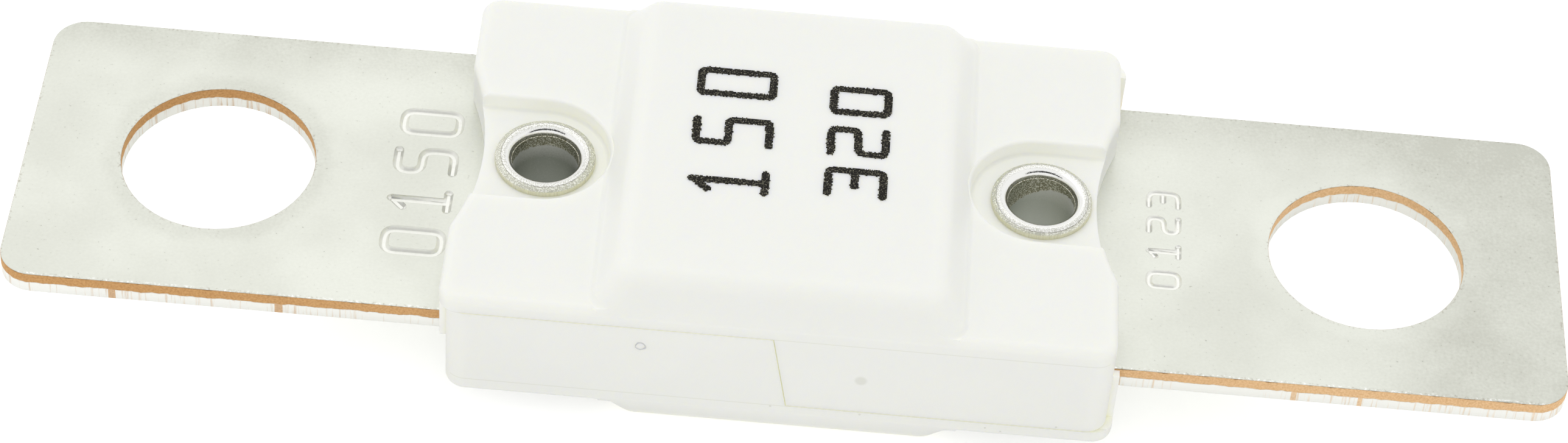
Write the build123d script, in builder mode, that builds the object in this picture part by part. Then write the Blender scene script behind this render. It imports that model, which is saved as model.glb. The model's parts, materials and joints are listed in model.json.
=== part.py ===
"""Bolt-down strip fuse: a stamped copper strip held between two identical moulded halves.

Sizes are in millimetres. The origin is the centre of the strip, midway between the bolt
holes: +X runs along the strip, +Y across it, and +Z out of the upper half.
"""

import math
import os

from build123d import *

os.makedirs("parts", exist_ok=True)

# Strip
bolt_spacing = 51.0
bolt_hole_diameter = 8.62
bolt_edge_distance = 8.55
strip_width = 15.82
strip_thickness = 1.07
strip_corner_radius = 1.5

# Fusing link, the narrow middle of the strip
link_end_gap = 0.8
link_neck_width = 2.2
link_root_radius = 1.6
link_pad_diameter = 4.6
link_pad_blend = 0.8
tin_diameter = 1.8
tin_head_diameter = 2.5
tin_head_height = 0.3

# Moulded half: heights are from the middle of the strip
parting_height = 2.09
rim_thickness = 0.84
rim_round = 0.4
end_overhang = 3.56
half_corner_radius = 0.9
scallop_radius = 12.9
scallop_depth = 0.97
scallop_tip_radius = 0.8

# Dome over the link, with a hollow inside
dome_rise = 1.62
dome_foot_length = 15.92
dome_side_slope = 33.0
dome_front_slope = 25.0
dome_corner_radius = 1.1
dome_top_round = 0.9
dome_foot_round = 0.3
cavity_roof = 1.2
cavity_end_inset = 0.7
cavity_side_wall = 1.0
cavity_corner_radius = 1.0

# Interlock: each half has skirts on half of its sides and thin lips on the rest
skirt_thickness = 0.98
lip_thickness = 0.38
lip_tip_gap = 0.04
lip_end_gap = 1.2
side_clearance = 0.05
seam_middle = 0.12
seam_slant = 0.76
seam_gap = 0.04
assembly_play = 0.15

# Recess round each eyelet, open to the end of the half
recess_radius = 3.17
recess_depth = 0.78
recess_rim_round = 0.15
recess_foot_round = 0.15
recess_draft = 3.0

# Eyelets
eyelet_spacing = 21.92
eyelet_bore = 3.0
eyelet_wall = 0.25
eyelet_flange_diameter = 4.45
eyelet_crown_height = 0.52
eyelet_edge_height = 0.12
eyelet_mouth_radius = 0.35
eyelet_clearance = 0.08

# Strip sizes that follow
strip_length = bolt_spacing + 2 * bolt_edge_distance
strip_top = strip_thickness / 2

# Sizes of the half that follow
shoulder_height = parting_height + rim_thickness
dome_height = shoulder_height + dome_rise
lip_inside = strip_width / 2 + side_clearance
lip_outside = lip_inside + lip_thickness
lip_tip_height = strip_top - lip_tip_gap
skirt_inside = lip_outside + side_clearance
skirt_end_gap = seam_gap + 2 * assembly_play
half_width = 2 * (skirt_inside + skirt_thickness)
half_length = eyelet_spacing + 2 * end_overhang
scallop_centre = half_length / 2 - scallop_depth + scallop_radius

# Dome sizes that follow: its front slopes are tangent to the rounded rim
side_lean = math.radians(dome_side_slope)
front_lean = math.radians(dome_front_slope)
dome_body_height = dome_height - parting_height
dome_body_length = dome_foot_length + 2 * rim_thickness * math.tan(side_lean)
dome_top_length = dome_body_length - 2 * dome_body_height * math.tan(side_lean)
dome_foot_reach = dome_foot_round * math.tan((math.pi / 2 - side_lean) / 2)
rim_tangent_y = half_width / 2 - rim_round * (1 - math.cos(front_lean))
rim_tangent_z = shoulder_height - rim_round * (1 - math.sin(front_lean))
dome_body_width = 2 * (rim_tangent_y + (rim_tangent_z - parting_height) * math.tan(front_lean))
dome_top_width = dome_body_width - 2 * dome_body_height * math.tan(front_lean)
cavity_length = dome_top_length - 2 * cavity_end_inset
cavity_width = strip_width - 2 * cavity_side_wall
cavity_height = dome_height - cavity_roof
link_length = cavity_length - 2 * link_end_gap

# Recess and eyelet sizes that follow
recess_floor = shoulder_height - recess_depth
recess_lean = math.radians(recess_draft)
eyelet_tube_diameter = eyelet_bore + 2 * eyelet_wall
strip_eyelet_hole = eyelet_tube_diameter + 2 * eyelet_clearance
half_eyelet_hole = strip_eyelet_hole + 2 * assembly_play


# Strip: one stamping, two terminals joined by the narrow link
with BuildPart() as fuse_strip:
    with BuildSketch(Plane.XY.offset(-strip_top)) as strip_plan:
        RectangleRounded(strip_length, strip_width, strip_corner_radius)
        Rectangle(link_length, strip_width, mode=Mode.SUBTRACT)
        Rectangle(link_length, link_neck_width)
        roots = strip_plan.vertices().filter_by_position(Axis.Y, -link_neck_width, link_neck_width)
        fillet(roots, link_root_radius)
        Circle(link_pad_diameter / 2)
        pad_reach = link_pad_diameter / 2
        pad_corners = strip_plan.vertices().filter_by_position(Axis.X, -pad_reach, pad_reach)
        fillet(pad_corners, link_pad_blend)
        with GridLocations(bolt_spacing, 0, 2, 1):
            Circle(bolt_hole_diameter / 2, mode=Mode.SUBTRACT)
        with GridLocations(eyelet_spacing, 0, 2, 1):
            Circle(strip_eyelet_hole / 2, mode=Mode.SUBTRACT)
        Circle(tin_diameter / 2, mode=Mode.SUBTRACT)
    extrude(amount=strip_thickness)
fuse_strip.part.label = "fuse_strip"


# Tin spot: pressed through the link and headed on both faces
with BuildPart() as tin_spot:
    with BuildSketch(Plane.XZ):
        with BuildLine():
            head = TangentArc(
                (0, strip_top + tin_head_height), (tin_head_diameter / 2, strip_top), tangent=(1, 0)
            )
            Polyline(head @ 1, (tin_diameter / 2, strip_top), (tin_diameter / 2, 0), (0, 0), head @ 0)
        make_face()
    revolve(axis=Axis.Z)
    mirror(about=Plane.XY)
tin_spot.part.label = "tin_spot"


# Plan of a moulded half, with a concave scallop at each end
with BuildSketch() as half_plan:
    RectangleRounded(half_length, half_width, half_corner_radius)
    with Locations((scallop_centre, 0), (-scallop_centre, 0)):
        Circle(scallop_radius, mode=Mode.SUBTRACT)
    tips = half_plan.vertices().filter_by_position(Axis.Y, -half_width / 3, half_width / 3)
    fillet(tips, scallop_tip_radius)


# Skirts: the near one runs from the seam to the right end, the far one from the left end to
# the seam, so that the same half turned over about X closes both sides
with BuildPart() as skirts:
    with BuildSketch(Plane.XY.offset(seam_gap - parting_height)):
        add(half_plan.sketch)
        Rectangle(half_length, 2 * skirt_inside, mode=Mode.SUBTRACT)
    extrude(amount=2 * parting_height - seam_gap)
    with BuildSketch(Plane.XY.offset(strip_top)):
        add(half_plan.sketch)
        Rectangle(half_length, strip_width, mode=Mode.SUBTRACT)
    extrude(amount=parting_height - strip_top)
    for side in (1, -1):
        seam_edge = seam_middle + side * skirt_end_gap / 2
        with BuildSketch(Plane.XZ):
            with BuildLine():
                Polyline(
                    (seam_edge - side * seam_slant / 2, parting_height),
                    (seam_edge + side * seam_slant / 2, -parting_height),
                    (-side * half_length, -parting_height),
                    (-side * half_length, parting_height),
                    close=True,
                )
            make_face()
        extrude(amount=side * half_width, mode=Mode.SUBTRACT)


# Lips: thin walls inside the other half's skirts that keep the strip from moving sideways
with BuildPart() as lips:
    for side in (-1, 1):
        lip_start = seam_middle + side * lip_end_gap
        lip_end = side * half_length / 2
        for inside, bottom, top in (
            (lip_inside, -lip_tip_height, strip_top),
            (strip_width / 2, strip_top, parting_height),
        ):
            with BuildSketch(Plane.XY.offset(bottom)):
                with Locations(((lip_start + lip_end) / 2, side * (inside + lip_outside) / 2)):
                    Rectangle(abs(lip_end - lip_start), lip_outside - inside)
                add(half_plan.sketch, mode=Mode.INTERSECT)
            extrude(amount=top - bottom)


# Dome: its ends and fronts slope at their own angles, and its foot blends into the shoulders.
# The slab below it gives the foot something to run into, and is then cut back to the foot.
with BuildPart() as dome:
    with BuildSketch(Plane.XZ):
        with Locations((0, parting_height)):
            Trapezoid(
                dome_body_length,
                dome_body_height,
                90 - dome_side_slope,
                align=(Align.CENTER, Align.MIN),
            )
    extrude(amount=half_width, both=True)
    with BuildSketch(Plane.YZ):
        with Locations((0, parting_height)):
            Trapezoid(
                dome_body_width,
                dome_body_height,
                90 - dome_front_slope,
                align=(Align.CENTER, Align.MIN),
            )
    extrude(amount=half_length, both=True, mode=Mode.INTERSECT)
    corners = dome.edges().filter_by(Axis.X, reverse=True).filter_by(Axis.Y, reverse=True)
    fillet(corners, dome_corner_radius)
    fillet(dome.faces().sort_by(Axis.Z)[-1].edges(), dome_top_round)
    with BuildSketch(Plane.XY.offset(parting_height)):
        Rectangle(half_length, 2 * half_width)
    extrude(amount=rim_thickness)
    shoulder = dome.faces().filter_by(Plane.XY).sort_by(Axis.Z)[-2]
    fillet(shoulder.inner_wires()[0].edges(), dome_foot_round)
    with BuildSketch(Plane.XY.offset(parting_height)):
        RectangleRounded(
            dome_foot_length + 2 * dome_foot_reach,
            dome_body_width,
            dome_corner_radius + dome_foot_reach,
        )
    extrude(amount=dome_body_height, mode=Mode.INTERSECT)
    with BuildSketch(Plane.YZ):
        with BuildLine():
            wall_foot = (half_width / 2, parting_height)
            wall = Line(wall_foot, (half_width / 2, shoulder_height - rim_round))
            turn = TangentArc(wall @ 1, (rim_tangent_y, rim_tangent_z), tangent=wall % 1)
            Polyline(
                turn @ 1,
                (dome_top_width / 2, dome_height),
                (0, dome_height),
                (0, parting_height),
                wall_foot,
            )
        make_face()
        mirror(about=Plane.YZ)
    extrude(amount=half_length, both=True, mode=Mode.INTERSECT)


# Section of a recess, from its axis out over the floor and up past the rounded rim
with BuildSketch(Plane.XZ) as recess_section:
    with BuildLine():
        wall_top = (
            recess_radius - recess_rim_round * math.cos(recess_lean),
            shoulder_height - recess_rim_round * (1 - math.sin(recess_lean)),
        )
        wall_foot = (
            wall_top[0] - (wall_top[1] - recess_floor) * math.tan(recess_lean),
            recess_floor,
        )
        Polyline((0, recess_floor), wall_foot, wall_top)
        rim = TangentArc(
            wall_top,
            (recess_radius, shoulder_height),
            tangent=(math.sin(recess_lean), math.cos(recess_lean)),
        )
        Polyline(rim @ 1, (recess_radius, dome_height), (0, dome_height), (0, recess_floor))
    make_face()
    fillet(recess_section.vertices().sort_by_distance(wall_foot)[0], recess_foot_round)


# Room for an eyelet: a round recess, carried straight out past the end of the half
with BuildPart() as recess:
    add(recess_section.sketch)
    revolve(axis=Axis.Z)
    with BuildSketch(Plane.YZ):
        add(recess_section.sketch_local)
        mirror(about=Plane.YZ)
    extrude(amount=2 * end_overhang)


# Moulded half: rim, block over the strip, skirts, lips and dome, hollow over the link
with BuildPart() as moulded_half:
    with BuildSketch(Plane.XY.offset(parting_height)):
        add(half_plan.sketch)
    extrude(amount=rim_thickness)
    fillet(moulded_half.faces().sort_by(Axis.Z)[-1].edges(), rim_round)
    with BuildSketch(Plane.XY.offset(strip_top)):
        add(half_plan.sketch)
        Rectangle(half_length, strip_width, mode=Mode.INTERSECT)
    extrude(amount=parting_height - strip_top)
    add(dome.part)
    add(skirts.part)
    add(lips.part)
    with BuildSketch(Plane.XY.offset(strip_top)):
        RectangleRounded(cavity_length, cavity_width, cavity_corner_radius)
    extrude(amount=cavity_height - strip_top, mode=Mode.SUBTRACT)
    for side, turn in ((1, 0), (-1, 180)):
        add(
            recess.part.moved(Location((side * eyelet_spacing / 2, 0, 0), (0, 0, turn))),
            mode=Mode.SUBTRACT,
        )
    with GridLocations(eyelet_spacing, 0, 2, 1):
        Hole(half_eyelet_hole / 2)


# The same moulding serves twice. The play round the eyelets lets the halves sit apart in X.
with BuildPart() as upper_housing:
    add(moulded_half.part.moved(Location((-assembly_play, 0, 0))))
upper_housing.part.label = "upper_housing"

with BuildPart() as lower_housing:
    add(moulded_half.part.moved(Location((assembly_play, 0, 0), (180, 0, 0))))
lower_housing.part.label = "lower_housing"


# Eyelet: a tube rolled out over the floor of the recess at both ends
with BuildPart() as eyelet:
    with BuildSketch(Plane.XZ):
        with BuildLine():
            bore_radius = eyelet_bore / 2
            tube_radius = eyelet_tube_diameter / 2
            edge_radius = eyelet_flange_diameter / 2
            crown_height = recess_floor + eyelet_crown_height
            bore = Line((bore_radius, 0), (bore_radius, crown_height - eyelet_mouth_radius))
            crown = (bore_radius + eyelet_mouth_radius, crown_height)
            mouth = TangentArc(bore @ 1, crown, tangent=bore % 1)
            flange = TangentArc(
                crown, (edge_radius, recess_floor + eyelet_edge_height), tangent=mouth % 1
            )
            Polyline(
                flange @ 1,
                (edge_radius, recess_floor),
                (tube_radius, recess_floor),
                (tube_radius, 0),
                (bore_radius, 0),
            )
        make_face()
    revolve(axis=Axis.Z)
    mirror(about=Plane.XY)

with BuildPart() as left_eyelet:
    add(eyelet.part.moved(Location((-eyelet_spacing / 2, 0, 0))))
left_eyelet.part.label = "left_eyelet"

with BuildPart() as right_eyelet:
    add(eyelet.part.moved(Location((eyelet_spacing / 2, 0, 0))))
right_eyelet.part.label = "right_eyelet"


pieces = (upper_housing, lower_housing, fuse_strip, tin_spot, left_eyelet, right_eyelet)
for piece in pieces:
    export_step(piece.part, f"parts/{piece.part.label}.step")
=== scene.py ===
"""Looks of a bolt-down strip fuse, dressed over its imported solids.

Everything is in metres in the frame of the solids: +X runs along the strip, +Y across it
and away from the camera, +Z out of the upper half of the housing. Sizes that the solids
have are read from them, and the rest are named here in millimetres.
"""

import json
import math

import bmesh
import bpy
from mathutils import Matrix, Quaternion, Vector, noise


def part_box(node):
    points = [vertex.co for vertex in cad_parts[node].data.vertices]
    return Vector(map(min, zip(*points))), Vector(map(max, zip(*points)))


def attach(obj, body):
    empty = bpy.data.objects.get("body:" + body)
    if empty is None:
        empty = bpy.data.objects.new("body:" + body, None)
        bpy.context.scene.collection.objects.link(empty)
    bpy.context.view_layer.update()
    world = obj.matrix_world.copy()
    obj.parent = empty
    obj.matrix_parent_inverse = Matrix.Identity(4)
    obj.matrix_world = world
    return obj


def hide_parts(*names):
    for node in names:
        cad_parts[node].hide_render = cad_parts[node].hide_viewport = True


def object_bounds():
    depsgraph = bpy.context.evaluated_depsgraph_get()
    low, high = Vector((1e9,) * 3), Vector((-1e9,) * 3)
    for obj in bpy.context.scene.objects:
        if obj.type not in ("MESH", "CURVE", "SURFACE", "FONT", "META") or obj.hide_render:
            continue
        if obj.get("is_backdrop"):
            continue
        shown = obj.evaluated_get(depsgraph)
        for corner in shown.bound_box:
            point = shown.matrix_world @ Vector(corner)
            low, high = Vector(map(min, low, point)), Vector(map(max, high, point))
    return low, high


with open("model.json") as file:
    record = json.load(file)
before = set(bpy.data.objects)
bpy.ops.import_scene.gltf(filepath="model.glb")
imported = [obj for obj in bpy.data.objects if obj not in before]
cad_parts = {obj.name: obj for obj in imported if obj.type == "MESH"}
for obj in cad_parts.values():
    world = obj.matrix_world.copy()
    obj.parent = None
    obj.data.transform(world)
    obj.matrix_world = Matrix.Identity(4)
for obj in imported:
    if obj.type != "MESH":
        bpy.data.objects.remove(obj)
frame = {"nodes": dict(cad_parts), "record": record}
cad_low, cad_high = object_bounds()

MM = 0.001
BODY = "root"

# Places read from the solids
strip_low, strip_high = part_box("fuse_strip")
upper_low, upper_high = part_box("upper_housing")
holes = [m for m in frame["record"]["mounts"] if m["kind"] == "bore"]
hole_radius = holes[0]["dims"]["r_mm"] * MM
hole_centres = [Vector(m["pos_m"]) for m in holes]

# Camera, measured in the photograph: a long lens looking down from the front
CAMERA_PLACE = Vector((-0.44, -132.09, 138.56)) * MM
CAMERA_AIM = Vector((-4.34, 1.22, 0.0)) * MM
CAMERA_ROLL = math.radians(3.70)
CAMERA_SHIFT = (0.0570, -0.0218)
LENS = 98.97
SENSOR_WIDTH = 36.0

# Studio: the room's brightness is a level plus a slope towards the left and the top
FLOOR_SIZE = 3.0
FLOOR_GAP = 0.01 * MM
FLOOR_LIFT = 0.45
FLOOR_MIRRORED_LIFT = 0.28
ROOM_LEVEL = 0.917
ROOM_SLOPE = (-0.03, 0.0, 0.025)
LAMP_SIZE = (0.9, 0.6)
LAMP_PLACE = (-0.2, 0.35, 0.7)
LAMP_POWER = 0.5
FLAG_SIZE = (0.46, 0.052)
FLAG_DISTANCE = 0.24

# Vertices nearer to each other than this are one
WELD = 0.001 * MM

# Housing walls: an ejector pin's mark, the inserts' hair lines, and what counts as wall
PIN_MARK_X = -5.91 * MM
PIN_MARK_Z = 0.965 * MM
MOULD_LINE_HEIGHT = 2.1 * MM
MOULD_LINE_HALF_WIDTH = 0.02 * MM
WALL_REACH = 0.27 * MM

# Small marks of the mould on the near wall: X and Z in mm, radius in mm, how dark, depth in mm
WALL_MARKS = (
    ((3.62, -0.04), 0.34, 0.35, 0.0),
    ((-0.16, -2.17), 0.07, 0.5, 0.01),
    ((3.72, -2.22), 0.08, 0.4, 0.01),
    ((9.17, -2.38), 0.06, 0.6, 0.01),
    ((9.85, -2.53), 0.06, 0.5, 0.01),
    ((12.21, -1.93), 0.06, 0.6, 0.01),
)

# Tin: the width of the burr specks, the halos round the left and the right bolt hole (the
# right one is rubbed bright, so it is negative), and the painted shade at the far edge and right
# end
BURR_WIDTH = 0.18 * MM
HALO_STRENGTHS = (0.4, -0.25)
HALO_START = 1.9 * MM
HALO_FULL = 1.0 * MM
HALO_WANDER = 1.4 * MM
FAR_SHADE_START = 3.0 * MM
END_SHADE_START = 12.0 * MM
END_SHADE_FULL = 3.0 * MM

# Sheared edges: the fracture's lower edge and how far it wanders, the dark line at its top,
# the streaks of dragged tin, and how far in the near edge reaches
FRACTURE_FLOOR = 0.03 * MM
FRACTURE_WANDER = 0.22 * MM
FRACTURE_SOFTNESS = 0.02 * MM
TOP_LINE_DEPTH = 0.01 * MM
STREAK_WIDTH = 0.13 * MM
STREAK_LENGTH = 2.5 * MM
NEAR_EDGE_REACH = 0.1 * MM

# Orange marks where the press tore the tin off the near edge: X and half width in mm
TORN_MARKS = ((-28.97, 0.16), (-21.71, 0.17), (22.25, 0.12), (25.1, 0.1))
TORN_STRENGTH = 0.8

# Rolled eyelets: radii, drops below the solid's crown, the rolled lip, its turning rings, and
# how far the edges of the burnished band and of the polish wander
BORE_RADIUS = 1.5 * MM
TUBE_RADIUS = 1.75 * MM
SEAT_DROP = 0.52 * MM
CROWN_DROP = 0.09 * MM
LIP_ROUND = 0.40 * MM
LIP_FLAT = 0.06 * MM
LEDGE = 0.02 * MM
BRIM_DROP = 0.18 * MM
TURNING_PITCH = 0.11 * MM
BAND_WANDER = 0.3 * MM
POLISH_WANDER = 0.06 * MM

# Each eyelet: radius of its polish, depth and tilt of the burnished band, painted shade deep down
EYELETS = (
    ("left", 1.95 * MM, 1.07 * MM, 0.0, "#B3B7B0"),
    ("right", 2.04 * MM, 1.3 * MM, -0.35, "#D9DDD6"),
)

# Plain digits: text, centres along Y, width and height, X of the feet, corner radius, in mm
MAIN_PRINT = ("150", (-2.6, 0.4, 3.4), (1.42, 3.2), -1.2, 0.25)
SECOND_PRINT = ("320", (-2.1, 0.4, 2.9), (1.42, 2.4), 3.9, 0.25)
LEFT_STAMP = ("0150", (-4.0, -1.5, 0.9, 3.3), (1.3, 2.5), -15.1, 0.5)
RIGHT_STAMP = ("0123", (-2.45, -0.75, 0.85, 2.4), (0.85, 1.3), 17.2, 0.4)

# Stamps: the digits, then radius and depth of their strokes in mm
STAMPS = ((LEFT_STAMP, 0.24, 0.16), (RIGHT_STAMP, 0.17, 0.11))


def hex_colour(code):
    """Linear red, green, blue and alpha of an sRGB hex value."""
    parts = [int(code[i : i + 2], 16) / 255 for i in (1, 3, 5)]
    linear = [c / 12.92 if c <= 0.04045 else ((c + 0.055) / 1.055) ** 2.4 for c in parts]
    return (*linear, 1.0)


def add_node(tree, kind, inputs, **settings):
    """Outputs of a new node with these settings, and inputs set to values or linked to sockets."""
    node = tree.nodes.new("ShaderNode" + kind)
    for name, value in settings.items():
        setattr(node, name, value)
    for name, value in inputs.items():
        if isinstance(value, bpy.types.NodeSocket):
            tree.links.new(value, node.inputs[name])
        else:
            node.inputs[name].default_value = value
    return node.outputs


def new_material(name, **constants):
    """A material, its node tree, its Principled shader's inputs and its Object coordinates."""
    material = bpy.data.materials.new(name)
    material.use_nodes = True
    tree = material.node_tree
    shader = tree.nodes["Principled BSDF"].inputs
    for socket, value in constants.items():
        shader[socket.replace("_", " ")].default_value = value
    place = add_node(tree, "TexCoord", {})["Object"]
    return material, tree, shader, place


def ray_kinds(tree):
    """1 for rays of the camera, mirrors and clear things, and 1 for the camera's own alone."""
    path = add_node(tree, "LightPath", {})
    seen = path["Is Camera Ray"]
    for kind in ("Is Glossy Ray", "Is Transmission Ray"):
        seen = add_node(tree, "Math", {0: seen, 1: path[kind]}, operation="MAXIMUM")[0]
    return seen, path["Is Camera Ray"]


def moulded_polyamide():
    """White polyamide 66, moulded in a finely eroded steel mould.

    The eye sees a nearly white body with a soft satin sheen. It lets a little light in; corners
    get a painted pale olive-yellow shade, and the thin edges along the parting a painted glow.
    """
    material, tree, shader, place = new_material(
        "moulded_polyamide",
        Roughness=0.48,
        IOR=1.53,
        Subsurface_Weight=0.8,
        Subsurface_Radius=(1.0, 0.95, 0.65),
        Subsurface_Scale=0.4 * MM,
    )
    # Painted shade: corners that ambient occlusion finds are tinted a pale olive yellow
    corner = add_node(tree, "AmbientOcclusion", {"Distance": 0.8 * MM}, samples=8)["AO"]
    unshaded_share = add_node(
        tree,
        "MapRange",
        {"Value": corner, "From Min": 0.1, "From Max": 0.75},
        interpolation_type="SMOOTHSTEP",
    )[0]
    painted_corner_shade = add_node(
        tree,
        "Mix",
        {0: unshaded_share, 6: hex_colour("#EFEFD8"), 7: hex_colour("#F5F6F1")},
        data_type="RGBA",
    )[2]
    cloud = add_node(tree, "TexNoise", {"Vector": place, "Scale": 1 / (3 * MM)})[0]
    colour = add_node(
        tree,
        "Mix",
        {
            0: add_node(tree, "Math", {0: cloud, 1: 0.35}, operation="MULTIPLY")[0],
            6: painted_corner_shade,
            7: hex_colour("#F0F1E9"),
        },
        data_type="RGBA",
    )[2]

    # Specks and a faint round witness of the mould, each a soft disc
    dents = 0.0
    for (x, z), radius, strength, depth in WALL_MARKS:
        away = add_node(
            tree, "VectorMath", {0: place, 1: (x * MM, upper_low.y, z * MM)}, operation="DISTANCE"
        )["Value"]
        disc = add_node(
            tree,
            "MapRange",
            {
                "Value": away,
                "From Min": radius * MM,
                "From Max": 0.5 * radius * MM,
                "To Max": strength,
            },
            interpolation_type="SMOOTHSTEP",
        )[0]
        colour = add_node(
            tree, "Mix", {0: disc, 6: colour, 7: hex_colour("#CFCFC2")}, data_type="RGBA"
        )[2]
        dents = add_node(
            tree, "Math", {0: disc, 1: -depth * MM, 2: dents}, operation="MULTIPLY_ADD"
        )[0]

    # The mould's inserts leave hair lines along both long walls, above and below the middle
    axes = add_node(tree, "SeparateXYZ", {0: place})
    height = add_node(tree, "Math", {0: axes["Z"]}, operation="ABSOLUTE")[0]
    outward = add_node(tree, "Math", {0: axes["Y"]}, operation="ABSOLUTE")[0]
    on_line = add_node(
        tree,
        "Math",
        {0: height, 1: MOULD_LINE_HEIGHT, 2: MOULD_LINE_HALF_WIDTH},
        operation="COMPARE",
    )[0]
    on_wall = add_node(
        tree, "Math", {0: outward, 1: cad_high.y - WALL_REACH}, operation="GREATER_THAN"
    )[0]
    hair = add_node(tree, "Math", {0: on_line, 1: on_wall}, operation="MULTIPLY")[0]
    colour = add_node(
        tree,
        "Mix",
        {
            0: add_node(tree, "Math", {0: hair, 1: 0.45}, operation="MULTIPLY")[0],
            6: colour,
            7: hex_colour("#DCDDCE"),
        },
        data_type="RGBA",
    )[2]
    tree.links.new(colour, shader["Base Color"])

    # Painted glow: emission in the parting gap stands in for the light that the thin edges pass on
    painted_glow = add_node(
        tree,
        "MapRange",
        {"Value": corner, "From Min": 1.0, "From Max": 0.0, "To Max": 0.2},
    )[0]
    deep = add_node(
        tree,
        "MapRange",
        {"Value": corner, "From Min": 0.0, "From Max": 0.3, "To Min": 0.6},
    )[0]
    painted_glow = add_node(tree, "Math", {0: painted_glow, 1: deep}, operation="MULTIPLY")[0]
    shader["Emission Color"].default_value = hex_colour("#F2EFD6")
    tree.links.new(painted_glow, shader["Emission Strength"])

    waves = add_node(tree, "TexNoise", {"Vector": place, "Scale": 1 / (2.5 * MM)})[0]
    dents = add_node(
        tree, "Math", {0: waves, 1: 0.02 * MM, 2: dents}, operation="MULTIPLY_ADD"
    )[0]
    grain = add_node(
        tree, "TexNoise", {"Vector": place, "Scale": 1 / (0.09 * MM), "Detail": 3.0}
    )[0]
    relief = add_node(
        tree, "Math", {0: grain, 1: 0.005 * MM, 2: dents}, operation="MULTIPLY_ADD"
    )[0]
    normal = add_node(tree, "Bump", {"Height": relief, "Distance": 1.0, "Strength": 1.0})[0]
    tree.links.new(normal, shader["Normal"])
    return material


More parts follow.
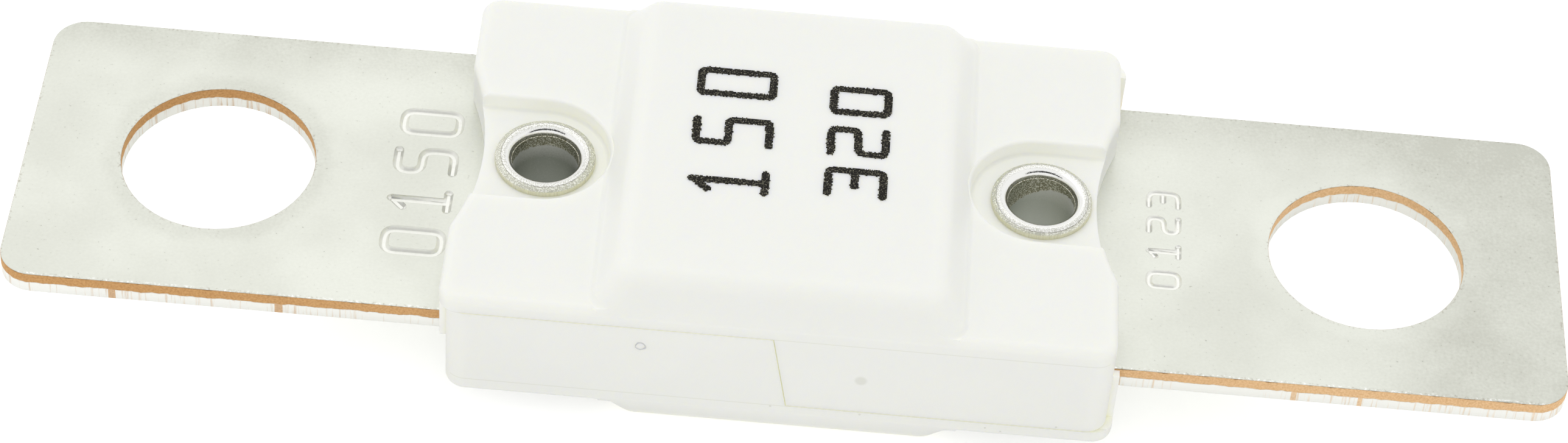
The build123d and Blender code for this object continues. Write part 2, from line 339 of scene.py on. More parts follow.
def tin_coat(name, bright, dull):
    """Matt tin, plated on the copper before stamping and handled since.

    The eye sees a pale warm grey metal with no clear reflections, clouded in soft patches,
    with painted shade along the far edge and at the right end, smudges round the bolt holes,
    a few fine specks, and finer ones where the shears raised a burr.
    """
    material, tree, shader, place = new_material(name, Metallic=1.0)
    clouds, patches, speckles, drawn = [
        add_node(tree, "TexNoise", {"Vector": place, "Scale": 1 / (size * MM), "Detail": detail})[0]
        for size, detail in ((7.0, 3.0), (1.1, 5.0), (0.14, 3.0), (0.07, 2.0))
    ]
    axes = add_node(tree, "SeparateXYZ", {0: place})

    # Where smudges, painted shade and burrs lie: a measure, where the band starts, where it is
    # full, strength
    smudge_and_shade_bands = [
        # Painted shade: the first two bands darken the far edge and the right end, where the tin
        # reflects less light
        (axes["Y"], strip_high.y - FAR_SHADE_START, strip_high.y, 0.65),
        (axes["X"], strip_high.x - END_SHADE_START, strip_high.x - END_SHADE_FULL, 0.8),
    ]
    burrs = []
    for centre, strength in zip(hole_centres, HALO_STRENGTHS):
        away = add_node(
            tree,
            "VectorMath",
            {0: place, 1: (centre.x, centre.y, strip_high.z)},
            operation="DISTANCE",
        )["Value"]
        burrs.append((away, hole_radius + BURR_WIDTH, hole_radius + 0.5 * BURR_WIDTH))
        uneven = add_node(
            tree, "Math", {0: patches, 1: HALO_WANDER, 2: away}, operation="MULTIPLY_ADD"
        )[0]
        smudge_and_shade_bands.append((uneven, hole_radius + HALO_START, hole_radius + HALO_FULL, strength))
    for axis, edge in (("X", strip_high.x), ("Y", strip_high.y)):
        sideways = add_node(tree, "Math", {0: axes[axis]}, operation="ABSOLUTE")[0]
        burrs.append((sideways, edge - BURR_WIDTH, edge - 0.5 * BURR_WIDTH))

    # Dullness and painted shade: slow clouds, gritty smudges, the painted shade bands and speckles
    smudge_and_shade = 0.0
    for measure, start, full, strength in smudge_and_shade_bands:
        band = add_node(
            tree,
            "MapRange",
            {"Value": measure, "From Min": start, "From Max": full, "To Max": strength},
            interpolation_type="SMOOTHSTEP",
        )[0]
        smudge_and_shade = add_node(tree, "Math", {0: band, 1: smudge_and_shade}, operation="ADD")[0]
    gritty = add_node(
        tree,
        "MapRange",
        {
            "Value": add_node(tree, "Math", {0: patches, 1: speckles}, operation="ADD")[0],
            "From Min": 0.55,
            "From Max": 1.45,
            "To Min": 0.35,
            "To Max": 0.85,
        },
    )[0]
    smudge_and_shade = add_node(tree, "Math", {0: smudge_and_shade, 1: gritty}, operation="MULTIPLY")[0]
    cloudy = add_node(
        tree,
        "MapRange",
        {"Value": clouds, "From Min": 0.35, "From Max": 0.68, "To Max": 0.32},
        interpolation_type="SMOOTHSTEP",
    )[0]
    dullness_and_shade = add_node(tree, "Math", {0: cloudy, 1: smudge_and_shade}, operation="ADD")[0]
    dullness_and_shade = add_node(
        tree, "Math", {0: speckles, 1: 0.35, 2: dullness_and_shade}, operation="MULTIPLY_ADD"
    )[0]
    tin = add_node(
        tree, "Mix", {0: dullness_and_shade, 6: hex_colour(bright), 7: hex_colour(dull)}, data_type="RGBA"
    )[2]
    speck = add_node(
        tree,
        "MapRange",
        {"Value": speckles, "From Min": 0.70, "From Max": 0.76, "To Max": 0.5},
    )[0]
    tin = add_node(tree, "Mix", {0: speck, 6: tin, 7: hex_colour("#8E8D80")}, data_type="RGBA")[2]

    # Burr specks: dark ones along all sheared edges, bright ones along the near edge
    burr = 0.0
    for measure, start, full in burrs:
        band = add_node(
            tree, "MapRange", {"Value": measure, "From Min": start, "From Max": full}
        )[0]
        burr = add_node(tree, "Math", {0: band, 1: burr}, operation="MAXIMUM")[0]
    near_edge = add_node(
        tree, "Math", {0: axes["Y"], 1: strip_low.y + BURR_WIDTH}, operation="LESS_THAN"
    )[0]
    near_burr = add_node(tree, "Math", {0: near_edge, 1: burr}, operation="MULTIPLY")[0]
    for start, end, strength, code, where in (
        (0.57, 0.63, 0.3, "#8F8069", burr),
        (0.43, 0.37, 0.7, "#FFFFFF", near_burr),
    ):
        spots = add_node(
            tree,
            "MapRange",
            {"Value": speckles, "From Min": start, "From Max": end, "To Max": strength},
        )[0]
        spots = add_node(tree, "Math", {0: spots, 1: where}, operation="MULTIPLY")[0]
        tin = add_node(tree, "Mix", {0: spots, 6: tin, 7: hex_colour(code)}, data_type="RGBA")[2]
    tree.links.new(tin, shader["Base Color"])
    rough = add_node(
        tree, "Math", {0: dullness_and_shade, 1: 0.10, 2: 0.38}, operation="MULTIPLY_ADD"
    )[0]
    tree.links.new(rough, shader["Roughness"])

    relief = add_node(tree, "Math", {0: patches, 1: 0.006 * MM}, operation="MULTIPLY")[0]
    relief = add_node(
        tree, "Math", {0: drawn, 1: 0.003 * MM, 2: relief}, operation="MULTIPLY_ADD"
    )[0]
    normal = add_node(tree, "Bump", {"Height": relief, "Distance": 1.0, "Strength": 1.0})[0]
    tree.links.new(normal, shader["Normal"])
    return material, tree, shader, place, axes, tin, rough, relief


def tinned_copper():
    """Tinned copper strip: the press sheared its edges after plating.

    The eye sees torn, granular orange copper in the upper half of each cut face, with a dark
    ragged line at its top, and below it tin dragged down over the copper in vertical streaks.
    """
    material, tree, shader, place, axes, tin, rough, relief = tin_coat(
        "tinned_copper", "#E4E6DD", "#C9CAC0"
    )
    facing = add_node(tree, "NewGeometry", {})["True Normal"]
    upward = add_node(tree, "SeparateXYZ", {0: facing})["Z"]
    slant = add_node(tree, "Math", {0: upward}, operation="ABSOLUTE")[0]
    cut_face = add_node(
        tree,
        "MapRange",
        {"Value": slant, "From Min": 0.9, "From Max": 0.6},
        interpolation_type="SMOOTHSTEP",
    )[0]
    ragged, grain = [
        add_node(tree, "TexNoise", {"Vector": place, "Scale": 1 / (size * MM), "Detail": 4.0})[0]
        for size in (0.45, 0.10)
    ]
    drawn_out = add_node(
        tree,
        "VectorMath",
        {0: place, 1: (1 / STREAK_WIDTH, 1 / STREAK_WIDTH, 1 / STREAK_LENGTH)},
        operation="MULTIPLY",
    )[0]
    streaks = add_node(tree, "TexNoise", {"Vector": drawn_out, "Scale": 1.0, "Detail": 3.0})[0]
    broad = add_node(tree, "TexNoise", {"Vector": place, "Scale": 1 / (6 * MM)})[0]

    # Copper: all of the fracture, some streaks below it, and a few torn marks right down
    edge = add_node(
        tree, "Math", {0: ragged, 1: FRACTURE_WANDER, 2: axes["Z"]}, operation="MULTIPLY_ADD"
    )[0]
    fracture, dark_line = [
        add_node(
            tree,
            "MapRange",
            {
                "Value": edge,
                "From Min": level + 0.5 * FRACTURE_WANDER - FRACTURE_SOFTNESS,
                "From Max": level + 0.5 * FRACTURE_WANDER + FRACTURE_SOFTNESS,
            },
        )[0]
        for level in (FRACTURE_FLOOR, strip_high.z - TOP_LINE_DEPTH)
    ]
    streak_level = add_node(
        tree, "Math", {0: broad, 1: 0.55, 2: streaks}, operation="MULTIPLY_ADD"
    )[0]
    dragged = add_node(
        tree,
        "MapRange",
        {"Value": streak_level, "From Min": 0.84, "From Max": 1.0, "To Max": 0.5},
    )[0]
    copper = add_node(tree, "Math", {0: fracture, 1: dragged}, operation="MAXIMUM")[0]
    near_edge = add_node(
        tree, "Math", {0: axes["Y"], 1: strip_low.y + NEAR_EDGE_REACH}, operation="LESS_THAN"
    )[0]
    torn_off = add_node(tree, "Math", {0: near_edge, 1: TORN_STRENGTH}, operation="MULTIPLY")[0]
    for middle, reach in TORN_MARKS:
        mark = add_node(
            tree, "Math", {0: axes["X"], 1: middle * MM, 2: reach * MM}, operation="COMPARE"
        )[0]
        mark = add_node(tree, "Math", {0: mark, 1: torn_off}, operation="MULTIPLY")[0]
        copper = add_node(tree, "Math", {0: copper, 1: mark}, operation="MAXIMUM")[0]
    copper = add_node(tree, "Math", {0: copper, 1: cut_face}, operation="MULTIPLY")[0]

    # The copper is browner at the left end and paler at the right one
    rightward = add_node(
        tree,
        "MapRange",
        {"Value": axes["X"], "From Min": hole_centres[0].x, "From Max": hole_centres[1].x},
    )[0]
    brown, pale = [
        add_node(
            tree,
            "Mix",
            {0: rightward, 6: hex_colour(left), 7: hex_colour(right)},
            data_type="RGBA",
        )[2]
        for left, right in (("#B07F49", "#CBA06C"), ("#E9C28C", "#FBE0B8"))
    ]
    metal = add_node(tree, "Mix", {0: grain, 6: brown, 7: pale}, data_type="RGBA")[2]
    # A darker brown line along the top of each cut face
    top_line_on_cut = add_node(tree, "Math", {0: dark_line, 1: cut_face}, operation="MULTIPLY")[0]
    wiped = add_node(
        tree, "Mix", {0: cut_face, 6: tin, 7: hex_colour("#ECECE7")}, data_type="RGBA"
    )[2]
    colour = add_node(tree, "Mix", {0: copper, 6: wiped, 7: metal}, data_type="RGBA")[2]
    colour = add_node(
        tree,
        "Mix",
        {
            0: add_node(tree, "Math", {0: top_line_on_cut, 1: 0.7}, operation="MULTIPLY")[0],
            6: colour,
            7: hex_colour("#7A5B3A"),
        },
        data_type="RGBA",
    )[2]
    tree.links.new(colour, shader["Base Color"])
    rough = add_node(tree, "Math", {0: copper, 1: 0.25, 2: rough}, operation="MULTIPLY_ADD")[0]
    tree.links.new(rough, shader["Roughness"])
    torn = add_node(tree, "Math", {0: copper, 1: grain}, operation="MULTIPLY")[0]
    relief = add_node(
        tree, "Math", {0: torn, 1: 0.05 * MM, 2: relief}, operation="MULTIPLY_ADD"
    )[0]
    normal = add_node(tree, "Bump", {"Height": relief, "Distance": 1.0, "Strength": 1.0})[0]
    tree.links.new(normal, shader["Normal"])
    return material


def plated_brass(name, crown, polished_to, burnish_depth, burnish_tilt, bore_shade):
    """Nickel-plated brass tube, rolled over by a turning tool.

    The eye sees a mirror-bright lip with faint turning rings, a dull olive flange scored
    outwards, a band burnished by the tool with a ragged lower edge just inside the mouth,
    darkened by a painted reflection, and satin grey below it where the tool didn't reach,
    darkened further down by painted shade.

    crown is the top of the eyelet's axis, polished_to the radius where the bright lip ends,
    and burnish_tilt how much the band's lower edge slants along X.
    """
    material, tree, shader, place = new_material(name, Metallic=1.0)
    local = add_node(
        tree, "VectorMath", {0: place, 1: (crown.x, crown.y, 0.0)}, operation="SUBTRACT"
    )[0]
    axes = add_node(tree, "SeparateXYZ", {0: local})
    level = add_node(tree, "CombineXYZ", {"X": axes["X"], "Y": axes["Y"]})[0]
    radius = add_node(tree, "VectorMath", {0: level}, operation="LENGTH")["Value"]
    heading = add_node(tree, "VectorMath", {0: level}, operation="NORMALIZE")[0]
    height = add_node(tree, "Math", {0: axes["Z"]}, operation="ABSOLUTE")[0]
    ragged, grain, mottle = [
        add_node(tree, "TexNoise", {"Vector": place, "Scale": 1 / (size * MM), "Detail": 3.0})[0]
        for size in (0.16, 0.06, 0.9)
    ]
    scores = add_node(
        tree, "TexNoise", {"Vector": heading, "Scale": 42.0, "Detail": 3.0}
    )[0]

    # How far down the bore the tool rubbed: below that ragged edge the plating is untouched
    edge = add_node(
        tree, "Math", {0: ragged, 1: BAND_WANDER, 2: height}, operation="MULTIPLY_ADD"
    )[0]
    edge = add_node(
        tree, "Math", {0: axes["X"], 1: burnish_tilt, 2: edge}, operation="MULTIPLY_ADD"
    )[0]
    limit = crown.z - burnish_depth + 0.5 * BAND_WANDER
    rubbed = add_node(
        tree,
        "MapRange",
        {"Value": edge, "From Min": limit - 0.03 * MM, "From Max": limit + 0.03 * MM},
    )[0]
    lip_radius = add_node(
        tree, "Math", {0: ragged, 1: 0.03 * MM, 2: radius}, operation="MULTIPLY_ADD"
    )[0]
    lip = add_node(
        tree,
        "MapRange",
        {
            "Value": lip_radius,
            "From Min": BORE_RADIUS + 0.02 * MM,
            "From Max": BORE_RADIUS + 0.04 * MM,
        },
    )[0]

    # The polish sits a little off centre and ends raggedly; a dark line of painted groove shade
    # parts it from the flange
    farther = add_node(tree, "SeparateXYZ", {0: heading})["Y"]
    off_centre = radius
    for pattern in (farther, ragged):
        off_centre = add_node(
            tree, "Math", {0: pattern, 1: POLISH_WANDER, 2: off_centre}, operation="MULTIPLY_ADD"
        )[0]
    flange = add_node(
        tree,
        "MapRange",
        {
            "Value": off_centre,
            "From Min": polished_to + 0.02 * MM,
            "From Max": polished_to + 0.05 * MM,
        },
    )[0]
    painted_groove_shade = add_node(
        tree,
        "Math",
        {0: off_centre, 1: polished_to + 0.03 * MM, 2: 0.014 * MM},
        operation="COMPARE",
    )[0]
    painted_groove_shade = add_node(tree, "Math", {0: painted_groove_shade, 1: mottle}, operation="MULTIPLY")[0]
    sparkle = add_node(
        tree,
        "MapRange",
        {"Value": grain, "From Min": 0.42, "From Max": 0.66},
        interpolation_type="SMOOTHSTEP",
    )[0]

    # The untouched plating is lighter near the mouth and darker deeper in, a painted shade where
    # less light reaches, and grained all the way down
    painted_depth_shade = add_node(
        tree,
        "MapRange",
        {
            "Value": height,
            "From Min": 1.75 * MM,
            "From Max": 0.8 * MM,
            "To Min": -0.2,
            "To Max": 0.75,
        },
    )[0]
    painted_depth_shade = add_node(
        tree, "Math", {0: grain, 1: 0.5, 2: painted_depth_shade}, operation="MULTIPLY_ADD"
    )[0]
    # Painted reflection: the burnished band's dark olive stands for the dark inside of the bore
    # mirrored in it
    bore, burnished_with_painted_reflection, brim, rim_wall = [
        add_node(
            tree, "Mix", {0: share, 6: hex_colour(first), 7: hex_colour(second)}, data_type="RGBA"
        )[2]
        for share, first, second in (
            (painted_depth_shade, "#FDFDFB", bore_shade),
            (sparkle, "#9C9980", "#FCFBF0"),
            (sparkle, "#C9C9BA", "#FDFDF4"),
            (scores, "#C4C2A6", "#F4F2DF"),
        )
    ]
    below_brim = add_node(
        tree,
        "MapRange",
        {"Value": height, "From Min": crown.z - 0.24 * MM, "From Max": crown.z - 0.30 * MM},
    )[0]
    outer = add_node(tree, "Mix", {0: below_brim, 6: brim, 7: rim_wall}, data_type="RGBA")[2]

    # Round the polished mouth the lip is worn in fine grains
    worn = add_node(
        tree,
        "MapRange",
        {
            "Value": off_centre,
            "From Min": polished_to - 0.24 * MM,
            "From Max": polished_to - 0.10 * MM,
        },
    )[0]
    grains = add_node(
        tree,
        "MapRange",
        {"Value": grain, "From Min": 0.62, "From Max": 0.38, "To Max": 0.8},
    )[0]
    worn_grains = add_node(tree, "Math", {0: worn, 1: grains}, operation="MULTIPLY")[0]

    # Layers from the bore outwards; the painted groove shade between lip and flange comes last
    colour = bore
    for mask, shade in (
        (rubbed, burnished_with_painted_reflection),
        (lip, hex_colour("#F1F1EE")),
        (worn_grains, hex_colour("#BDBDB0")),
        (flange, outer),
        (painted_groove_shade, hex_colour("#4A4638")),
    ):
        colour = add_node(tree, "Mix", {0: mask, 6: colour, 7: shade}, data_type="RGBA")[2]
    tree.links.new(colour, shader["Base Color"])
    rough = 0.55
    for mask, change in ((rubbed, -0.12), (lip, -0.33), (worn, 0.12), (flange, 0.2)):
        rough = add_node(
            tree, "Math", {0: mask, 1: change, 2: rough}, operation="MULTIPLY_ADD"
        )[0]
    tree.links.new(rough, shader["Roughness"])

    turns = add_node(
        tree, "Math", {0: radius, 1: 2 * math.pi / TURNING_PITCH}, operation="MULTIPLY"
    )[0]
    rings = add_node(tree, "Math", {0: turns}, operation="SINE")[0]
    cuts = add_node(tree, "Math", {0: scores, 1: flange}, operation="MULTIPLY")[0]
    relief = 0.0
    for pattern, depth in ((rings, 0.0008 * MM), (grain, 0.004 * MM), (cuts, 0.03 * MM)):
        relief = add_node(
            tree, "Math", {0: pattern, 1: depth, 2: relief}, operation="MULTIPLY_ADD"
        )[0]
    normal = add_node(tree, "Bump", {"Height": relief, "Distance": 1.0, "Strength": 1.0})[0]
    tree.links.new(normal, shader["Normal"])
    return material


def soft_tin():
    """Solder tin, melted into the link and left as it set: a dull grey, clouded metal."""
    material, tree, shader, place = new_material("soft_tin", Metallic=1.0, Roughness=0.45)
    cloud = add_node(
        tree, "TexNoise", {"Vector": place, "Scale": 1 / (0.4 * MM), "Detail": 3.0}
    )[0]
    colour = add_node(
        tree,
        "Mix",
        {0: cloud, 6: hex_colour("#C9CBC8"), 7: hex_colour("#A9ACA8")},
        data_type="RGBA",
    )[2]
    tree.links.new(colour, shader["Base Color"])
    normal = add_node(tree, "Bump", {"Height": cloud, "Distance": 0.02 * MM, "Strength": 1.0})[0]
    tree.links.new(normal, shader["Normal"])
    return material


def marking_ink():
    """Black marking ink, printed thin: nearly black, mottled where the plastic shows through."""
    material, tree, shader, place = new_material(
        "marking_ink", Roughness=0.6, Specular_IOR_Level=0.15
    )
    speckle = add_node(
        tree, "TexNoise", {"Vector": place, "Scale": 1 / (0.07 * MM), "Detail": 3.0}
    )[0]
    thin = add_node(
        tree,
        "MapRange",
        {"Value": speckle, "From Min": 0.5, "From Max": 0.72, "To Max": 0.8},
        interpolation_type="SMOOTHSTEP",
    )[0]
    colour = add_node(
        tree, "Mix", {0: thin, 6: hex_colour("#14120E"), 7: hex_colour("#8A8775")}, data_type="RGBA"
    )[2]
    tree.links.new(colour, shader["Base Color"])
    return material


def floor_paper():
    """Matt white paper that looks pure white wherever the object doesn't shade it."""
    material, tree, shader, _ = new_material(
        "floor_paper", Roughness=1.0, Specular_IOR_Level=0.0
    )
    shader["Base Color"].default_value = hex_colour("#F7F7F7")
    shader["Emission Color"].default_value = hex_colour("#FFFFFF")
    seen, direct = ray_kinds(tree)
    lift = add_node(
        tree, "Mix", {0: direct, 2: FLOOR_MIRRORED_LIFT, 3: FLOOR_LIFT}, data_type="FLOAT"
    )[0]
    lift = add_node(tree, "Math", {0: seen, 1: lift}, operation="MULTIPLY")[0]
    tree.links.new(lift, shader["Emission Strength"])
    return material


def object_from(name, bm, material):
    """A new object at the origin from a bmesh, with its material."""
    mesh = bpy.data.meshes.new(name)
    bm.to_mesh(mesh)
    bm.free()
    piece = bpy.data.objects.new(name, mesh)
    bpy.context.scene.collection.objects.link(piece)
    piece.data.materials.append(material)
    return piece


def dress(node, material):
    """Gives a CAD node its material."""
    node.data.materials.clear()
    node.data.materials.append(material)


# Digits: centre lines of their strokes in a box one wide and one high
DIGITS = {
    "0": [[(0, 0.5), (0, 1), (1, 1), (1, 0), (0, 0), (0, 0.5)]],
    "1": [[(0.12, 0.78), (0.49, 0.97)], [(0.5, 1), (0.5, 0.03)], [(0.1, 0), (0.9, 0)]],
    "2": [[(0, 1), (1, 1), (1, 0.52), (0, 0.48), (0, 0), (1, 0)]],
    "3": [[(0, 1), (1, 1), (1, 0), (0, 0)], [(0.35, 0.52), (0.97, 0.52)]],
    "5": [[(0.95, 1), (0, 1), (0, 0.56), (1, 0.56), (1, 0), (0, 0)]],
}


def rounded(points, radius):
    """A stroke's centre line with each inner corner turned on an arc of about that radius."""
    line = [Vector(points[0])]
    for before, corner, after in zip(points, points[1:], points[2:]):
        before, corner, after = Vector(before), Vector(corner), Vector(after)
        reach = min(radius, (corner - before).length / 2, (after - corner).length / 2)
        start = corner + (before - corner).normalized() * reach
        end = corner + (after - corner).normalized() * reach
        steps = 5
        for i in range(steps + 1):
            t = i / steps
            line.append(start * (1 - t) ** 2 + corner * 2 * t * (1 - t) + end * t**2)
    line.append(Vector(points[-1]))
    return line


def digit_strokes(text, places, box, foot, corner):
    """Stroke lines in metres of digits that read along +Y with their tops towards -X.

    places are the digits' centres along Y, box their width and height, foot the X of their
    feet, and corner the radius of their corners, all in millimetres.
    """
    width, height = [length * MM for length in box]
    strokes = []
    for digit, middle in zip(text, places):
        left = middle * MM - width / 2
        for points in DIGITS[digit]:
            line = rounded([(x * width, y * height) for x, y in points], corner * MM)
            strokes.append([Vector((foot * MM - p.y, left + p.x)) for p in line])
    return strokes


def distance_to(stroke, point):
    """How far a point is from a stroke's centre line."""
    best = math.inf
    for a, b in zip(stroke, stroke[1:]):
        run = b - a
        share = max(0.0, min(1.0, (point - a).dot(run) / max(run.length_squared, 1e-18)))
        best = min(best, (point - a - run * share).length)
    return best


def printed_digits(name, strokes, surface, material):
    """Ink film of the digits: a fine grid kept only where a stroke covers it, with rough edges."""
    cell = 0.045 * MM
    film = 0.012 * MM
    half_stroke = 0.18 * MM
    edge_wander = 0.056 * MM
    edge_grain = 0.09 * MM
    pinhole_grain = 0.05 * MM
    pinhole_level = 0.62
    elsewhere = Vector((7, 3, 1))
    margin = 0.5 * MM
    xs = [p.x for s in strokes for p in s]
    ys = [p.y for s in strokes for p in s]
    centre = Vector(((min(xs) + max(xs)) / 2, (min(ys) + max(ys)) / 2))
    width = max(xs) - min(xs) + 2 * margin
    depth = max(ys) - min(ys) + 2 * margin
    columns = round(width / cell)
    rows = round(depth / cell)
    bm = bmesh.new()
    bmesh.ops.create_grid(bm, x_segments=columns, y_segments=rows, size=0.5)
    bmesh.ops.scale(bm, vec=(width, depth, 1), verts=bm.verts)
    bmesh.ops.translate(bm, vec=(centre.x, centre.y, surface + film), verts=bm.verts)
    bare = []
    for face in bm.faces:
        middle = face.calc_center_median()
        reach = half_stroke + edge_wander * noise.noise(middle / edge_grain)
        inked = any(distance_to(s, middle.xy) < reach for s in strokes)
        pinhole = noise.noise(middle / pinhole_grain + elsewhere) > pinhole_level
        if pinhole or not inked:
            bare.append(face)
    bmesh.ops.delete(bm, geom=bare, context="FACES")
    copied = bmesh.ops.extrude_face_region(bm, geom=bm.faces[:])
    underside = [v for v in copied["geom"] if isinstance(v, bmesh.types.BMVert)]
    bmesh.ops.translate(bm, vec=(0, 0, -film), verts=underside)
    bmesh.ops.recalc_face_normals(bm, faces=bm.faces)
    piece = object_from(name, bm, material)
    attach(piece, BODY)


def add_stroke_bars(bm, strokes, surface, radius, depth):
    """Adds rounded bars along the strokes, sunk into a surface by depth.

    Every second bar is a little thinner and the end balls are smaller, so that no surface
    only touches another one, which would leave slivers in the cut.
    """
    thinner = 0.96
    ball = 0.92
    height = surface + radius - depth
    for i, stroke in enumerate(strokes):
        is_loop = (stroke[0] - stroke[-1]).length < WELD
        bar = radius * (thinner if i % 2 else 1.0)
        curve = bpy.data.curves.new("stroke", "CURVE")
        curve.dimensions = "3D"
        curve.bevel_depth = bar
        curve.bevel_resolution = 3
        curve.use_fill_caps = True
        spline = curve.splines.new("POLY")
        spline.use_cyclic_u = is_loop
        points = stroke[:-1] if is_loop else stroke
        spline.points.add(len(points) - 1)
        for target, p in zip(spline.points, points):
            target.co = (p.x, p.y, height, 1)
        holder = bpy.data.objects.new("stroke", curve)
        bpy.context.scene.collection.objects.link(holder)
        bpy.context.view_layer.update()
        tube = bmesh.new()
        tube.from_mesh(bpy.data.meshes.new_from_object(holder))
        bpy.data.objects.remove(holder)
        bmesh.ops.remove_doubles(tube, verts=tube.verts, dist=WELD)
        closed = bpy.data.meshes.new("stroke")
        tube.to_mesh(closed)
        tube.free()
        bm.from_mesh(closed)
        bpy.data.meshes.remove(closed)
        if is_loop:
            continue
        for end in (stroke[0], stroke[-1]):
            place = Matrix.Translation((end.x, end.y, height))
            bmesh.ops.create_uvsphere(
                bm, u_segments=14, v_segments=8, radius=ball * bar, matrix=place
            )


def stamped_strip(material, groove_tin_with_highlight):
    """The strip with eased edges and with plain digits stamped into both terminals."""
    eased = 0.035 * MM
    bm = bmesh.new()
    bm.from_mesh(frame["nodes"]["fuse_strip"].data)
    bmesh.ops.remove_doubles(bm, verts=bm.verts, dist=WELD)
    bmesh.ops.dissolve_limit(
        bm,
        angle_limit=math.radians(0.5),
        verts=bm.verts,
        edges=bm.edges,
        use_dissolve_boundaries=False,
    )
    sharp = [e for e in bm.edges if e.is_manifold and e.calc_face_angle() > math.radians(60)]
    bmesh.ops.bevel(
        bm, geom=sharp, offset=eased, segments=2, profile=0.5, affect="EDGES", material=-1
    )
    strip = object_from("stamped_strip", bm, material)

    # One tool for both stamps, cut out in one go; it leaves its own material in the grooves,
    # a brighter tin that paints a highlight on their bottoms
    bm = bmesh.new()
    for digits, radius, depth in STAMPS:
        add_stroke_bars(bm, digit_strokes(*digits), strip_high.z, radius * MM, depth * MM)
    tool = object_from("stamp", bm, groove_tin_with_highlight)
    cut = strip.modifiers.new("stamp", "BOOLEAN")
    cut.operation = "DIFFERENCE"
    cut.solver = "EXACT"
    cut.use_self = True
    cut.material_mode = "TRANSFER"
    cut.object = tool
    bpy.context.view_layer.update()
    evaluated = strip.evaluated_get(bpy.context.evaluated_depsgraph_get())
    baked = bpy.data.meshes.new_from_object(evaluated)
    strip.modifiers.clear()
    strip.data = baked
    bpy.data.objects.remove(tool)
    bm = bmesh.new()
    bm.from_mesh(strip.data)
    bmesh.ops.remove_doubles(bm, verts=bm.verts, dist=2 * WELD)
    bmesh.ops.dissolve_degenerate(bm, edges=bm.edges, dist=2 * WELD)
    bm.to_mesh(strip.data)
    bm.free()

    # The level faces keep flat shading, as they are large and have many sides
    strip.data.set_sharp_from_angle(angle=math.radians(50))
    level = 0.9999
    for polygon in strip.data.polygons:
        polygon.use_smooth = abs(polygon.normal.z) < level
    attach(strip, BODY)
    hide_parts("fuse_strip")


def seam_tongue(name, side, material):
    """The thin web inside the housing that closes the view through a slanted seam.

    side is -1 for the near seam and 1 for the far one.
    """
    length = 2.0 * MM
    thickness = 0.36 * MM
    height = 3.9 * MM
    play = 0.06 * MM
    off_middle = 0.12 * MM
    bm = bmesh.new()
    bmesh.ops.create_cube(bm, size=1.0)
    bmesh.ops.scale(bm, vec=(length, thickness, height), verts=bm.verts)
    bmesh.ops.bevel(
        bm,
        geom=bm.edges[:],
        offset=0.05 * MM,
        segments=2,
        profile=0.5,
        affect="EDGES",
        material=-1,
    )
    place = (off_middle, side * (strip_high.y + play + thickness / 2), 0)
    bmesh.ops.translate(bm, vec=place, verts=bm.verts)
    tongue = object_from(name, bm, material)
    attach(tongue, BODY)


def rolled_eyelet(side, material):
    """An eyelet with its lip rounded and its flange tapered, spun from one closed profile."""
    low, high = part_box(side + "_eyelet")
    middle = (low + high) / 2
    crown = high.z - CROWN_DROP
    flange = (high.x - low.x) / 2
    seat = high.z - SEAT_DROP
    lip_end = crown - LIP_ROUND
    lift = 0.01 * MM

    # Corners of the upper half of the profile: radius, height, and how far each is rounded
    corners = (
        (BORE_RADIUS - LEDGE, lip_end - LEDGE, 0.0),
        (BORE_RADIUS, lip_end - 0.1 * LEDGE, 0.0),
        (BORE_RADIUS, crown, LIP_ROUND * 0.999),
        (BORE_RADIUS + LIP_ROUND + LIP_FLAT, crown, 0.055 * MM),
        (flange, crown - BRIM_DROP, 0.05 * MM),
        (flange, seat + lift, 0.03 * MM),
        (TUBE_RADIUS, seat, 0.0),
    )
    bm = bmesh.new()
    ring = []
    for sign, path in ((1, corners), (-1, reversed(corners))):
        for radius, height, turn in path:
            ring.append((bm.verts.new((middle.x + radius, middle.y, sign * height)), turn))
    for (start, _), (end, _) in zip(ring, ring[1:] + ring[:1]):
        bm.edges.new((start, end))
    for corner, turn in ring:
        if turn:
            bmesh.ops.bevel(
                bm,
                geom=[corner],
                offset=turn,
                segments=10 if turn > 0.1 * MM else 4,
                profile=0.5,
                affect="VERTICES",
                material=-1,
            )
    bmesh.ops.spin(
        bm,
        geom=bm.verts[:] + bm.edges[:],
        cent=middle,
        axis=(0, 0, 1),
        angle=2 * math.pi,
        steps=128,
        use_merge=True,
    )
    bmesh.ops.remove_doubles(bm, verts=bm.verts, dist=0.5 * WELD)
    bmesh.ops.recalc_face_normals(bm, faces=bm.faces)
    eyelet = object_from("rolled_" + side + "_eyelet", bm, material)
    for polygon in eyelet.data.polygons:
        polygon.use_smooth = True
    eyelet.data.set_sharp_from_angle(angle=math.radians(40))
    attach(eyelet, BODY)
    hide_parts(side + "_eyelet")


def gate_mark(name, centre, outward, material):
    """The broken, slightly raised ring that an ejector pin leaves on a wall."""
    pin_radius = 0.21 * MM
    burr = 0.035 * MM
    wander = 1.2 * burr
    grain = 0.09 * MM
    sunk = 0.4 * burr
    bm = bmesh.new()
    bmesh.ops.create_circle(bm, segments=8, radius=burr)
    bmesh.ops.translate(bm, vec=(pin_radius, 0, 0), verts=bm.verts)
    bmesh.ops.spin(
        bm,
        geom=bm.verts[:] + bm.edges[:],
        cent=(0, 0, 0),
        axis=(0, 1, 0),
        angle=2 * math.pi,
        steps=36,
        use_merge=True,
    )
    for vert in bm.verts:
        vert.co += vert.co.normalized() * wander * noise.noise(vert.co / grain)
    bmesh.ops.translate(bm, vec=centre - outward * sunk, verts=bm.verts)
    bmesh.ops.recalc_face_normals(bm, faces=bm.faces)
    mark = object_from(name, bm, material)
    for polygon in mark.data.polygons:
        polygon.use_smooth = True
    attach(mark, BODY)


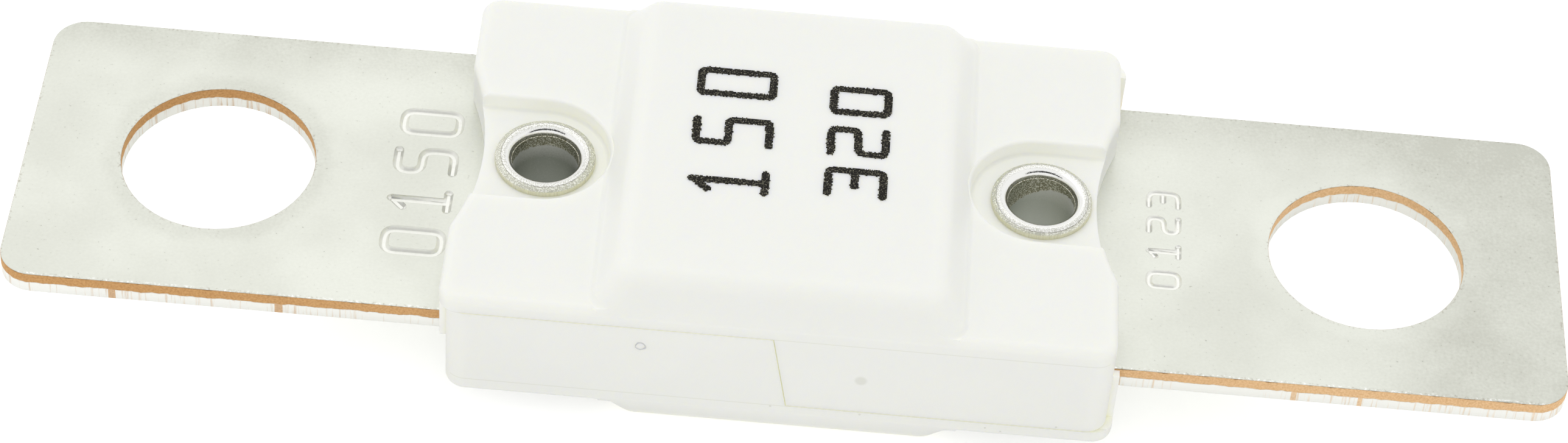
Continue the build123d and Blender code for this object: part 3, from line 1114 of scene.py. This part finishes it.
def build_camera():
    """The photograph's camera."""
    data = bpy.data.cameras.new("camera")
    data.lens = LENS
    data.sensor_width = SENSOR_WIDTH
    data.shift_x, data.shift_y = CAMERA_SHIFT
    data.clip_start = 0.01
    data.clip_end = 10.0
    camera = bpy.data.objects.new("camera", data)
    bpy.context.scene.collection.objects.link(camera)
    camera.location = CAMERA_PLACE
    camera.rotation_mode = "QUATERNION"
    level = (CAMERA_AIM - CAMERA_PLACE).to_track_quat("-Z", "Y")
    camera.rotation_quaternion = level @ Quaternion((0, 0, 1), CAMERA_ROLL)
    bpy.context.scene.camera = camera


def build_studio():
    """A white paper floor, a white room, a soft lamp behind and a dark flag before the camera."""
    bm = bmesh.new()
    bmesh.ops.create_grid(bm, x_segments=1, y_segments=1, size=FLOOR_SIZE / 2)
    bmesh.ops.translate(bm, vec=(0, 0, cad_low.z - FLOOR_GAP), verts=bm.verts)
    floor = object_from("floor", bm, floor_paper())
    floor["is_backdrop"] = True

    world = bpy.data.worlds.new("room")
    world.use_nodes = True
    tree = world.node_tree
    background = tree.nodes["Background"].inputs
    background["Color"].default_value = hex_colour("#FFFFFF")
    direction = add_node(tree, "TexCoord", {})["Generated"]
    slope = add_node(
        tree, "VectorMath", {0: direction, 1: ROOM_SLOPE}, operation="DOT_PRODUCT"
    )["Value"]
    room = add_node(tree, "Math", {0: slope, 1: ROOM_LEVEL}, operation="ADD")[0]
    seen, _ = ray_kinds(tree)
    strength = add_node(tree, "Mix", {0: seen, 2: room, 3: 1.0}, data_type="FLOAT")[0]
    tree.links.new(strength, background["Strength"])
    bpy.context.scene.world = world

    # The dark flag stands in for camera and photographer. It is seen only in bright metal, as
    # the dark line on the eyelets' far lips.
    flag_cloth, _, shader, _ = new_material("flag_cloth", Roughness=1.0)
    shader["Base Color"].default_value = hex_colour("#161616")
    bm = bmesh.new()
    outward = CAMERA_PLACE.normalized()
    bmesh.ops.create_grid(bm, x_segments=1, y_segments=1, size=0.5)
    bmesh.ops.scale(bm, vec=(*FLAG_SIZE, 1), verts=bm.verts)
    bmesh.ops.rotate(bm, matrix=outward.to_track_quat("Z", "Y").to_matrix(), verts=bm.verts)
    bmesh.ops.translate(bm, vec=outward * FLAG_DISTANCE, verts=bm.verts)
    flag = object_from("flag", bm, flag_cloth)
    flag.visible_camera = False
    flag.visible_diffuse = False
    flag.visible_shadow = False
    flag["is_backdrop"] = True

    lamp = bpy.data.lights.new("softbox", "AREA")
    lamp.shape = "RECTANGLE"
    lamp.size, lamp.size_y = LAMP_SIZE
    lamp.energy = LAMP_POWER
    softbox = bpy.data.objects.new("softbox", lamp)
    bpy.context.scene.collection.objects.link(softbox)
    softbox.location = LAMP_PLACE
    softbox.rotation_mode = "QUATERNION"
    softbox.rotation_quaternion = (-softbox.location).to_track_quat("-Z", "Y")


build_camera()
build_studio()

housing_plastic = moulded_polyamide()
for half in ("upper_housing", "lower_housing"):
    dress(frame["nodes"][half], housing_plastic)
near_mark = Vector((PIN_MARK_X, upper_low.y, PIN_MARK_Z))
far_mark = Vector((PIN_MARK_X, -upper_low.y, -PIN_MARK_Z))
gate_mark("near_gate_mark", near_mark, Vector((0, -1, 0)), housing_plastic)
gate_mark("far_gate_mark", far_mark, Vector((0, 1, 0)), housing_plastic)

seam_tongue("near_seam_tongue", -1, housing_plastic)
seam_tongue("far_seam_tongue", 1, housing_plastic)

dress(frame["nodes"]["tin_spot"], soft_tin())
for side, polished_to, burnish_depth, burnish_tilt, bore_shade in EYELETS:
    low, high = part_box(side + "_eyelet")
    crown = Vector(((low.x + high.x) / 2, (low.y + high.y) / 2, high.z))
    plating = plated_brass(
        side + "_eyelet_plating", crown, polished_to, burnish_depth, burnish_tilt, bore_shade
    )
    dress(frame["nodes"][side + "_eyelet"], plating)
    rolled_eyelet(side, plating)
# The grooves' brighter tin is a painted highlight
pressed_tin_painted_highlight = tin_coat("pressed_tin_painted_highlight", "#F8F8F3", "#D9DAD1")[0]
stamped_strip(tinned_copper(), pressed_tin_painted_highlight)

ink = marking_ink()
printed_digits("main_print", digit_strokes(*MAIN_PRINT), upper_high.z, ink)
printed_digits("second_print", digit_strokes(*SECOND_PRINT), upper_high.z, ink)

bpy.context.scene.view_settings.view_transform = "Standard"

low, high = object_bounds()
